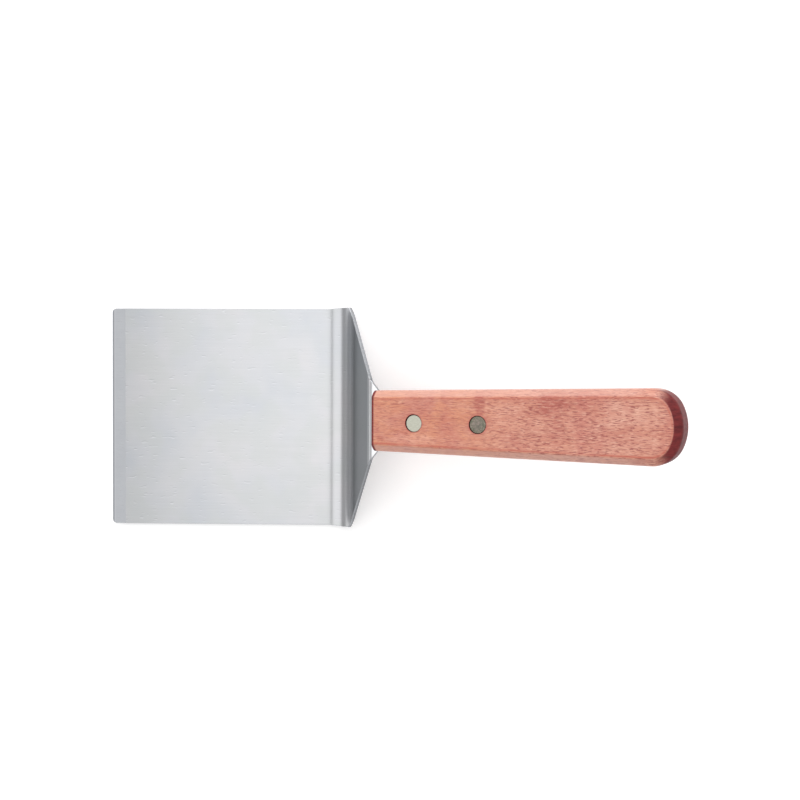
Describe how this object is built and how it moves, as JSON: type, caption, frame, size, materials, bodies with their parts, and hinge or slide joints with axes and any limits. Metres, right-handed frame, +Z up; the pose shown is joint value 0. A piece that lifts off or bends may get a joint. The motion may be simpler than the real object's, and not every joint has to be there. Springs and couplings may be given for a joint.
{
  "type": "offset bench scraper",
  "caption": "Offset bench scraper: flat sheet-steel blade with a ground edge, steep riser and narrow tang riveted into a slotted, upswept hardwood handle.",
  "frame": {"origin": "middle of the flat blade's underside, midway between the cutting edge and the lower bend", "axes": "+X from the cutting edge towards the handle's butt, +Y along the cutting edge, +Z up out of the blade's top face"},
  "size_m": [0.2382, 0.0962, 0.0857],
  "materials": {
    "blade_steel": "satin, brushed along the tool, with a ground bevel at the cutting edge",
    "handle_wood": "sanded and oiled reddish hardwood with fine open pores along the handle",
    "front_rivet_metal": "nickel-plated, sanded flat and bright",
    "rear_rivet_metal": "nickel-plated, worn dull and speckled"
  },
  "bodies": {
    "root": {"blade": "blade_steel", "handle": "handle_wood", "front_rivet_socket": "front_rivet_metal", "front_rivet_pin": "front_rivet_metal", "rear_rivet_socket": "rear_rivet_metal", "rear_rivet_pin": "rear_rivet_metal"}
  },
  "joints": []
}
